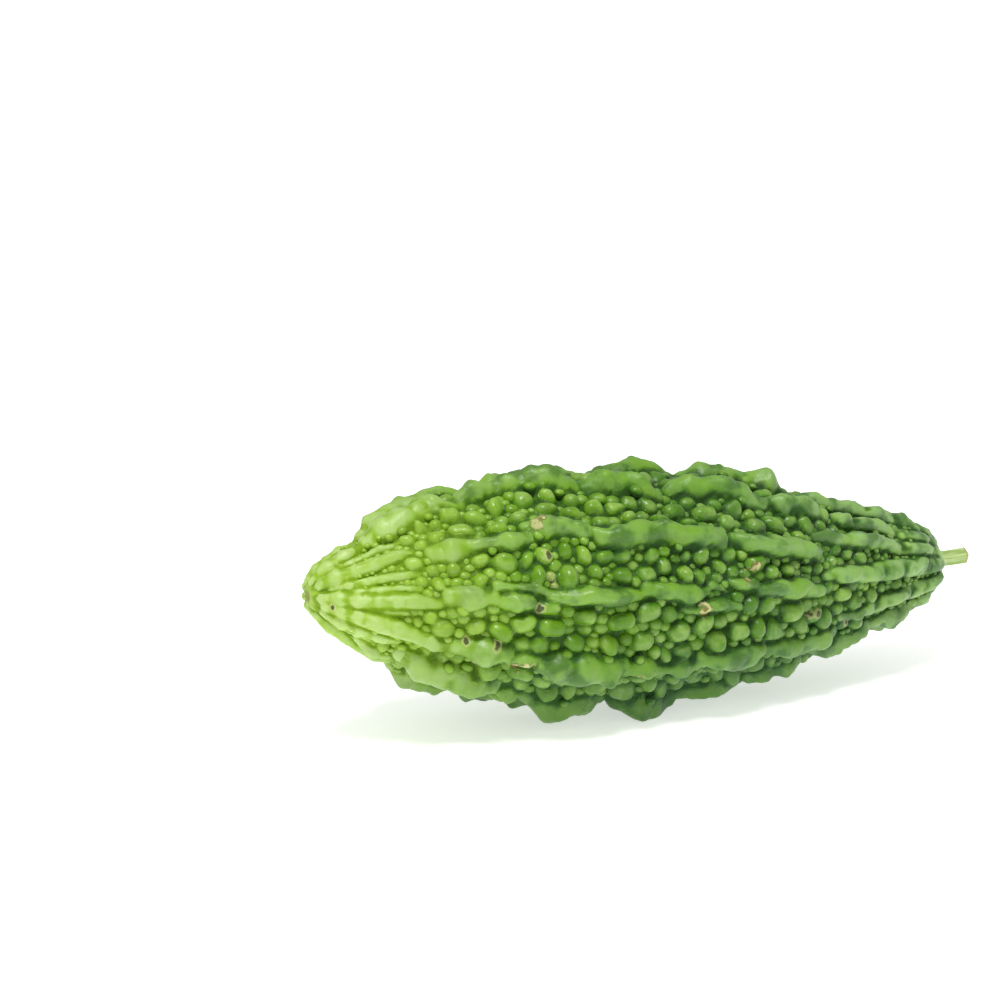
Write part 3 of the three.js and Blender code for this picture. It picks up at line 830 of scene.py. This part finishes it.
def sculpt_stalk():
    """A round rod drawn out ring by ring, then ribbed, flared at its foot and bent a little."""
    length = STALK_SUNK + STALK_OUT
    rod = bmesh.new()
    bmesh.ops.create_circle(rod, cap_ends=True, segments=STALK_SIDES, radius=1)
    face = rod.faces[:][0]
    for _ in range(STALK_RINGS):
        drawn = bmesh.ops.extrude_face_region(rod, geom=[face])["geom"]
        bmesh.ops.delete(rod, geom=[face], context="FACES_ONLY")
        face = next(item for item in drawn if isinstance(item, bmesh.types.BMFace))
        bmesh.ops.translate(rod, verts=face.verts[:], vec=(0, 0, length / STALK_RINGS))
    bmesh.ops.inset_region(rod, faces=[face], thickness=STALK_RIM / STALK_RADIUS / 2)
    bmesh.ops.inset_region(rod, faces=[face], thickness=STALK_RIM / STALK_RADIUS, depth=-STALK_HOLLOW)
    bmesh.ops.holes_fill(rod, edges=[edge for edge in rod.edges if edge.is_boundary], sides=0)
    bmesh.ops.poke(rod, faces=[item for item in rod.faces if len(item.verts) > 4])

    start = FRUIT_LENGTH / 2 - STALK_SUNK
    for vertex in rod.verts:
        x, y, beyond = vertex.co
        turn = math.atan2(y, x)
        foot = min(max(1 - (beyond - STALK_SUNK) / STALK_FOOT_REACH, 0), 1)
        body = between((STALK_RADIUS, STALK_END_RADIUS), beyond / length)
        radius = body + (STALK_FOOT_RADIUS - body) * foot * foot
        rib = 1 + STALK_RIB_DEPTH * (1 - foot / 2) * math.cos(STALK_RIBS * turn)
        reach = math.hypot(x, y) * radius * rib
        rise = STALK_SLOPE * beyond + STALK_BEND * (beyond / length) ** 2
        vertex.co = Vector((
            start + beyond + MIDDLE_X,
            reach * math.sin(turn) + MIDDLE_Y,
            reach * math.cos(turn) + axis_height(start) + rise,
        )) * MM
    bmesh.ops.recalc_face_normals(rod, faces=rod.faces[:])
    mesh = bpy.data.meshes.new("gourd_stalk")
    rod.to_mesh(mesh)
    rod.free()
    mesh.shade_smooth()
    mesh.set_sharp_from_angle(angle=math.radians(STALK_SHARP_ANGLE))
    return mesh


def seen(red, green, blue):
    """A colour given as it looks on a screen, from 0 to 255, for a shader's socket."""
    shades = [value / 255 for value in (red, green, blue)]
    return tuple(s / 12.92 if s <= 0.04045 else ((s + 0.055) / 1.055) ** 2.4 for s in shades)


class Shader:
    """Short calls for the nodes of one material."""

    def __init__(self, name):
        self.material = bpy.data.materials.new(name)
        self.material.use_nodes = True
        self.nodes = self.material.node_tree.nodes
        self.links = self.material.node_tree.links
        self.surface = self.nodes["Principled BSDF"]

    def put(self, socket, value):
        if isinstance(value, bpy.types.NodeSocket):
            self.links.new(value, socket)
        elif hasattr(value, "__len__") and len(value) == 3 and socket.type == "RGBA":
            socket.default_value = (*value, 1)
        else:
            socket.default_value = value

    def attribute(self, name):
        node = self.nodes.new("ShaderNodeAttribute")
        node.attribute_name = name
        return node.outputs["Fac"]

    def object_place(self):
        return self.nodes.new("ShaderNodeTexCoord").outputs["Object"]

    def distance(self, axis):
        """How far along an axis of the object each point is, in metres."""
        node = self.nodes.new("ShaderNodeSeparateXYZ")
        self.links.new(self.object_place(), node.inputs[0])
        return node.outputs[axis]

    def math(self, operation, a, b):
        """A sum or product is held between 0 and 1."""
        node = self.nodes.new("ShaderNodeMath")
        node.operation = operation
        node.use_clamp = operation in ("ADD", "MULTIPLY")
        self.put(node.inputs[0], a)
        self.put(node.inputs[1], b)
        return node.outputs[0]

    def fit(self, value, low, high, to_low=0.0, to_high=1.0):
        """The value moved from one range to another, smoothly, and held inside it."""
        node = self.nodes.new("ShaderNodeMapRange")
        node.interpolation_type = "SMOOTHSTEP"
        self.put(node.inputs["Value"], value)
        limits = {"From Min": low, "From Max": high, "To Min": to_low, "To Max": to_high}
        for name, number in limits.items():
            node.inputs[name].default_value = number
        return node.outputs["Result"]

    def mix(self, share, a, b):
        node = self.nodes.new("ShaderNodeMix")
        node.data_type = "RGBA"
        self.put(node.inputs["Factor"], share)
        first, second = (socket for socket in node.inputs if socket.type == "RGBA")
        self.put(first, a)
        self.put(second, b)
        return next(socket for socket in node.outputs if socket.type == "RGBA")

    def ramp(self, share, *stops):
        node = self.nodes.new("ShaderNodeValToRGB")
        elements = node.color_ramp.elements
        while len(elements) < len(stops):
            elements.new(0.5)
        for element, (position, colour) in zip(elements, stops):
            element.position = position
            element.color = (*colour, 1)
        self.put(node.inputs["Fac"], share)
        return node.outputs["Color"]

    def noise(self, scale, detail, stretch=(1, 1, 1)):
        mapping = self.nodes.new("ShaderNodeMapping")
        mapping.inputs["Scale"].default_value = stretch
        self.links.new(self.object_place(), mapping.inputs["Vector"])
        node = self.nodes.new("ShaderNodeTexNoise")
        self.links.new(mapping.outputs[0], node.inputs["Vector"])
        node.inputs["Scale"].default_value = scale
        node.inputs["Detail"].default_value = detail
        return node.outputs["Fac"]

    def pebbles(self, scale):
        """Tiny domes packed side by side: 1 at the top of each and 0 in the seams between them."""
        node = self.nodes.new("ShaderNodeTexVoronoi")
        node.inputs["Scale"].default_value = scale
        self.links.new(self.object_place(), node.inputs["Vector"])
        return self.fit(node.outputs["Distance"], 0.62, 0.1)

    def bump(self, height, distance, strength):
        node = self.nodes.new("ShaderNodeBump")
        node.inputs["Distance"].default_value = distance
        node.inputs["Strength"].default_value = strength
        self.links.new(height, node.inputs["Height"])
        self.links.new(node.outputs[0], self.surface.inputs["Normal"])

    def set(self, values):
        """Sets or links sockets of the surface, given by name."""
        for name, value in values.items():
            self.put(self.surface.inputs[name], value)


class SkinShader(Shader):
    """Waxy green skin, from the values stored on its corners and soft patterns of four sizes."""

    def __init__(self, look):
        super().__init__("gourd_skin")
        self.look = look
        self.along = self.attribute("along")
        self.cavity = self.attribute("cavity")
        self.lump = self.attribute("lump")
        self.tone = self.attribute("tone")
        self.cloud = self.noise(CLOUDS, 4)
        self.dull = self.noise(DULL_SPOTS, 2)
        self.mottle = self.noise(MOTTLES, 4)
        self.grain = self.noise(GRAIN, 3)
        in_crease = self.fit(self.cavity, 0.6, 0.4)
        in_crease = self.math("MULTIPLY", in_crease, self.fit(self.along, 0.05, 0.16))
        self.pebble = self.math("MULTIPLY", in_crease, self.pebbles(look.pebbles))
        ragged = self.fit(self.grain, 0.3, 0.7, -0.35, 0.35)
        self.scab = self.fit(self.math("SUBTRACT", self.attribute("cork"), ragged), 1, 0.6)

    def greens(self):
        """Painted shade in the creases, painted highlights on the tops, mottled greyer lumps and a pale
        tip.
        """
        look = self.look
        # Painted shade: the colours that the creases take, deepest half way along and lightest by the tip.
        crease_shade = self.ramp(
            self.along, (0.12, look.tip_crease_shade), (0.27, look.front_crease_shade),
            (0.5, look.middle_crease_shade), (0.95, look.stalk_crease_shade),
        )
        wart = self.ramp(
            self.along, (0.08, look.tip_wart), (0.27, look.front_wart),
            (0.5, look.middle_wart), (0.95, look.stalk_wart),
        )
        crest = self.ramp(
            self.along, (0.08, look.tip_crest), (0.25, look.front_crest),
            (0.5, look.middle_crest), (0.95, look.stalk_crest),
        )
        # Lumps pale towards their tops: partly their own waxy bloom and partly painted highlight.
        lump_green = self.mix(self.fit(self.cavity, 0.4, 0.8), wart, crest)
        lump_green = self.mix(self.fit(self.cloud, 0.48, 0.68, 0, 0.6), lump_green, wart)
        lump_green = self.mix(self.fit(self.dull, 0.5, 0.32, 0, 0.3), lump_green, wart)
        lump_green = self.mix(self.fit(self.mottle, 0.5, 0.62, 0, 0.35), lump_green, look.yellow_green)
        wart = self.mix(self.fit(self.tone, 0.5, 1, 0, 0.22), wart, look.yellow_green)
        wart = self.mix(self.fit(self.tone, 0.45, 0, 0, 0.22), wart, look.deep_green)

        side = self.mix(self.lump, wart, lump_green)
        # Painted shade: the low places take the crease colour.
        colour = self.mix(self.fit(self.cavity, 0.16, 0.64), crease_shade, side)
        colour = self.mix(self.math("MULTIPLY", self.pebble, 0.45), colour, wart)
        # Painted highlight: the high places are paled, speckled and mottled, towards pale green on warts
        # and the crest colour on lumps.
        wart_highlight = self.mix(0.45, wart, look.highlight_green)
        top = self.mix(self.lump, wart_highlight, self.mix(0.5, lump_green, crest))
        speckle = self.fit(self.grain, 0.35, 0.65, 0.35, 0.75)
        highlight_share = self.math("MULTIPLY", self.fit(self.cavity, 0.6, 0.92), speckle)
        highlight_share = self.math("MULTIPLY", highlight_share, self.fit(self.mottle, 0.4, 0.6, 0.25, 1))
        return self.mix(highlight_share, colour, top)

    def shades(self, colour):
        """Dark patches of the skin's own, most of all on the lumps, and painted shade that darkens the
        underside towards the floor.
        """
        look = self.look
        patch = self.fit(self.mottle, 0.52, 0.36, 0, 0.6)
        patch = self.math("MULTIPLY", patch, self.fit(self.along, 0.12, 0.3))
        patch = self.math("MULTIPLY", patch, self.fit(self.lump, 0, 1, 0.5, 1))
        colour = self.mix(patch, colour, look.deep_green)
        # Painted shade: darker towards the bottom, near the floor.
        colour = self.mix(self.fit(self.distance("Z"), 0.034, 0.002, 0, 0.42), colour, look.underside_shade_green)
        return self.mix(self.fit(self.cloud, 0.42, 0.2, 0, 0.3), colour, look.deep_green)

    def marks(self, colour):
        """Ragged cork scabs, dark pits in pale rings, and the olive blossom scar."""
        look = self.look
        scab_colour = self.mix(self.fit(self.grain, 0.45, 0.6), look.cork_brown, look.cork_cream)
        colour = self.mix(self.math("MULTIPLY", self.scab, 0.85), colour, scab_colour)
        pit = self.math("SUBTRACT", self.attribute("pit"), self.fit(self.grain, 0.35, 0.65, -0.25, 0.25))
        colour = self.mix(self.fit(pit, 1.6, 1.2, 0, 0.4), colour, look.cork_cream)
        colour = self.mix(self.fit(pit, 0.95, 0.6, 0, 0.9), colour, look.pit_brown)
        return self.mix(self.fit(self.along, 0.011, 0.004), colour, look.scar_olive)

    def emboss(self):
        """A fine grain, coarser on lumps and scabs, and the pebbles in the creases."""
        grain = self.math("MULTIPLY", self.grain, self.fit(self.lump, 0, 1, 0.2, 0.38))
        grain = self.math("ADD", grain, self.math("MULTIPLY", self.scab, self.grain))
        dents = self.math("MULTIPLY", self.dull, self.fit(self.lump, 0, 1, 0.3, 0.55))
        grain = self.math("ADD", grain, dents)
        grain = self.math("ADD", grain, self.math("MULTIPLY", self.pebble, 0.5))
        self.bump(grain, distance=0.9 * MM, strength=0.8)

    def roughness(self):
        """Wax that is shiny in patches, duller on the lumps and dull in the creases."""
        wax = self.fit(self.cloud, 0.3, 0.7, self.look.gloss_low, self.look.gloss_high)
        wax = self.math("ADD", wax, self.math("MULTIPLY", self.lump, 0.1))
        return self.math("ADD", wax, self.fit(self.cavity, 0.5, 0.1, 0, 0.4))


def skin_material(look):
    skin = SkinShader(look)
    colour = skin.marks(skin.shades(skin.greens()))
    skin.emboss()
    skin.set({
        "Base Color": colour,
        "Roughness": skin.roughness(),
        "Subsurface Weight": look.glow,
        "Subsurface Scale": FLESH_REACH,
        "Subsurface Radius": FLESH_COLOURS,
        "Sheen Weight": SHEEN,
        "Sheen Roughness": SHEEN_ROUGHNESS,
        "IOR": WAX_IOR,
        "Specular IOR Level": WAX_SPECULAR,
    })
    return skin.material


def stalk_material(look):
    """Fibrous pale green stalk with fine lengthwise lines, browned where it was cut."""
    stalk = Shader("gourd_stalk")
    fibres = stalk.noise(FIBRES, 3, stretch=(0.08, 1, 1))
    beyond = stalk.distance("X")
    root = (FRUIT_LENGTH / 2 + MIDDLE_X) * MM
    end = root + STALK_OUT * MM
    colour = stalk.mix(stalk.fit(fibres, 0.35, 0.65), look.stalk_green, look.stalk_pale)
    colour = stalk.mix(stalk.fit(beyond, root + 4 * MM, root), colour, look.stalk_pale)
    colour = stalk.mix(stalk.fit(beyond, end - 0.8 * MM, end - 0.2 * MM, 0, 0.8), colour, look.cut_brown)
    stalk.bump(fibres, distance=0.3 * MM, strength=0.4)
    stalk.set({
        "Base Color": colour,
        "Roughness": 0.52,
        "Subsurface Weight": STALK_GLOW,
        "Subsurface Scale": STALK_REACH,
        "Subsurface Radius": STALK_COLOURS,
    })
    return stalk.material


def floor_material(look):
    floor = Shader("pale_floor")
    floor.set({
        "Base Color": look.floor_white,
        "Roughness": 0.9,
        "Emission Color": (1, 1, 1),
        "Emission Strength": look.floor_glow,
    })
    return floor.material


def colour_property(name, description, shade):
    return FloatVectorProperty(
        name=name, description=description, subtype="COLOR", size=3, min=0, max=1, default=seen(*shade),
    )


class GourdLook(bpy.types.PropertyGroup):
    """The sizes and colours of the gourd that a user would change."""

    rings: IntProperty(name="Rings", description="Rings of corners along the fruit", default=318, min=60)
    sides: IntProperty(name="Sides", description="Corners in each ring", default=312, min=60)
    gloss_low: FloatProperty(
        name="Least roughness", description="Roughness where the wax is smooth", default=0.24,
        min=0, max=1, subtype="FACTOR",
    )
    gloss_high: FloatProperty(
        name="Most roughness", description="Roughness where the wax is dull", default=0.4,
        min=0, max=1, subtype="FACTOR",
    )
    pebbles: FloatProperty(
        name="Pebbles", description="Tiny warts in a metre of skin, between the modelled ones", default=380,
        min=1,
    )
    glow: FloatProperty(
        name="Glow", description="How much light spreads inside the flesh", default=0.12,
        min=0, max=1, subtype="FACTOR",
    )
    # Painted shade in the creases, by station.
    tip_crease_shade: colour_property("Tip crease", "Creases beside the blossom scar", (120, 156, 16))
    front_crease_shade: colour_property("Front crease", "Creases a quarter along", (48, 92, 0))
    middle_crease_shade: colour_property("Middle crease", "Creases half way along", (28, 66, 0))
    stalk_crease_shade: colour_property("Stalk crease", "Creases beside the stalk", (34, 72, 14))
    tip_wart: colour_property("Tip wart", "Warts near the tip", (146, 180, 44))
    front_wart: colour_property("Front wart", "Warts a quarter along", (106, 154, 8))
    middle_wart: colour_property("Middle wart", "Warts half way along", (70, 122, 2))
    stalk_wart: colour_property("Stalk wart", "Warts beside the stalk", (84, 132, 40))
    # The lumps' paler waxy bloom, also used for the painted highlight on their tops.
    tip_crest: colour_property("Tip crest", "Pleats near the tip", (176, 202, 118))
    front_crest: colour_property("Front crest", "Lumps a quarter along", (130, 170, 74))
    middle_crest: colour_property("Middle crest", "Lumps half way along", (104, 148, 50))
    stalk_crest: colour_property("Stalk crest", "Lumps beside the stalk", (146, 182, 112))
    # Painted highlight on the tops of the warts.
    highlight_green: colour_property("Pale green", "The tops of the warts", (190, 218, 124))
    yellow_green: colour_property("Yellow green", "The lightest warts", (128, 172, 20))
    deep_green: colour_property("Deep green", "The darkest warts", (30, 78, 6))
    # Painted shade on the underside.
    underside_shade_green: colour_property("Under green", "The underside of the fruit", (40, 86, 42))
    cork_cream: colour_property("Cork cream", "Dry scabs on the skin", (196, 192, 132))
    cork_brown: colour_property("Cork brown", "Cracks in the scabs", (118, 100, 52))
    pit_brown: colour_property("Pit brown", "Dark dots on the skin", (52, 62, 26))
    scar_olive: colour_property("Scar olive", "The blossom scar", (130, 142, 52))
    stalk_green: colour_property("Stalk green", "The stalk's grooves", (138, 168, 82))
    stalk_pale: colour_property("Stalk pale", "The stalk's ribs and foot", (186, 206, 138))
    cut_brown: colour_property("Cut brown", "The stalk's cut end", (150, 132, 84))
    floor_white: colour_property("Floor", "The floor under the gourd", (252, 252, 253))
    sky: FloatProperty(
        name="Sky", description="Strength of the light from all round", default=0.52, min=0,
    )
    floor_glow: FloatProperty(
        name="Floor glow", description="Light that the floor gives by itself", default=0.54, min=0,
    )
    key: FloatProperty(
        name="Key", description="Power of the large soft light above", default=6.0, min=0, unit="POWER",
    )


class GOURD_OT_fruit(bpy.types.Operator):
    """Adds the warty fruit with its ridges, pleats and blossom scar"""

    bl_idname = "gourd.fruit"
    bl_label = "Fruit"

    def execute(self, context):
        look = context.scene.gourd_look
        relief, beads, draw = grow_skin(look)
        waxy = skin_material(look)
        pieces = [new_object("gourd_fruit", sculpt_fruit(look, relief), waxy)]
        for name in sorted({bead.piece for bead in beads}):
            group = [bead for bead in beads if bead.piece == name]
            pieces.append(new_object(name, sculpt_beads(name, relief, group, draw), waxy))
        for piece in pieces:
            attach(piece, "root")
            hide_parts("fruit")
        return {"FINISHED"}


class GOURD_OT_stalk(bpy.types.Operator):
    """Adds the ribbed cut stalk"""

    bl_idname = "gourd.stalk"
    bl_label = "Stalk"

    def execute(self, context):
        look = context.scene.gourd_look
        stalk = new_object("gourd_stalk", sculpt_stalk(), stalk_material(look))
        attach(stalk, "root")
        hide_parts("stem")
        return {"FINISHED"}


def add_key_light(power):
    light = bpy.data.lights.new("key", "AREA")
    light.size = KEY_WIDTH
    light.energy = power
    lamp = bpy.data.objects.new("key", light)
    lamp.location = KEY_PLACE
    lamp.rotation_euler = (Vector(KEY_PLACE) - Vector(KEY_AIM)).to_track_quat("Z", "Y").to_euler()
    bpy.context.scene.collection.objects.link(lamp)


def add_camera():
    """The camera that sees the gourd as in the picture that it was modelled from."""
    turn = math.radians(CAMERA_AZIMUTH)
    lift = math.radians(CAMERA_ELEVATION)
    back = Vector((math.sin(turn) * math.cos(lift), -math.cos(turn) * math.cos(lift), math.sin(lift)))
    right = Vector((math.cos(turn), math.sin(turn), 0))
    up = back.cross(right)
    lens = bpy.data.cameras.new("camera")
    lens.lens = CAMERA_LENS
    lens.sensor_width = SENSOR_WIDTH
    camera = bpy.data.objects.new("camera", lens)
    standing = Matrix((right, up, back)).transposed().to_4x4()
    standing.translation = CAMERA_TARGET + back * CAMERA_DISTANCE + right * CAMERA_ASIDE + up * CAMERA_UP
    camera.matrix_world = standing
    bpy.context.scene.collection.objects.link(camera)
    bpy.context.scene.camera = camera


class GOURD_OT_stage(bpy.types.Operator):
    """Adds the pale floor, the soft lights and the camera"""

    bl_idname = "gourd.stage"
    bl_label = "Stage"

    def execute(self, context):
        look = context.scene.gourd_look
        disc = bmesh.new()
        bmesh.ops.create_circle(disc, cap_ends=True, segments=FLOOR_SIDES, radius=FLOOR_RADIUS)
        mesh = bpy.data.meshes.new("floor")
        disc.to_mesh(mesh)
        disc.free()
        new_object("floor", mesh, floor_material(look))

        world = bpy.data.worlds.new("studio")
        world.use_nodes = True
        background = world.node_tree.nodes["Background"]
        background.inputs["Color"].default_value = (1, 1, 1, 1)
        background.inputs["Strength"].default_value = look.sky
        context.scene.world = world
        context.scene.view_settings.view_transform = "Standard"
        add_key_light(look.key)
        add_camera()
        return {"FINISHED"}


class GOURD_PT_panel(bpy.types.Panel):
    """The gourd's steps and its settings in the 3D view's sidebar"""

    bl_idname = "GOURD_PT_panel"
    bl_label = "Bitter gourd"
    bl_space_type = "VIEW_3D"
    bl_region_type = "UI"
    bl_category = "Gourd"

    def draw(self, context):
        for operator in OPERATORS:
            self.layout.operator(operator.bl_idname)
        for name in GourdLook.__annotations__:
            self.layout.prop(context.scene.gourd_look, name)


OPERATORS = (GOURD_OT_fruit, GOURD_OT_stalk, GOURD_OT_stage)
CLASSES = (GourdLook, *OPERATORS, GOURD_PT_panel)


def register():
    for cls in CLASSES:
        bpy.utils.register_class(cls)
    bpy.types.Scene.gourd_look = PointerProperty(type=GourdLook)


def unregister():
    del bpy.types.Scene.gourd_look
    for cls in reversed(CLASSES):
        bpy.utils.unregister_class(cls)


def main():
    register()
    bpy.ops.gourd.fruit()
    bpy.ops.gourd.stalk()
    bpy.ops.gourd.stage()


if __name__ == "__main__":
    main()
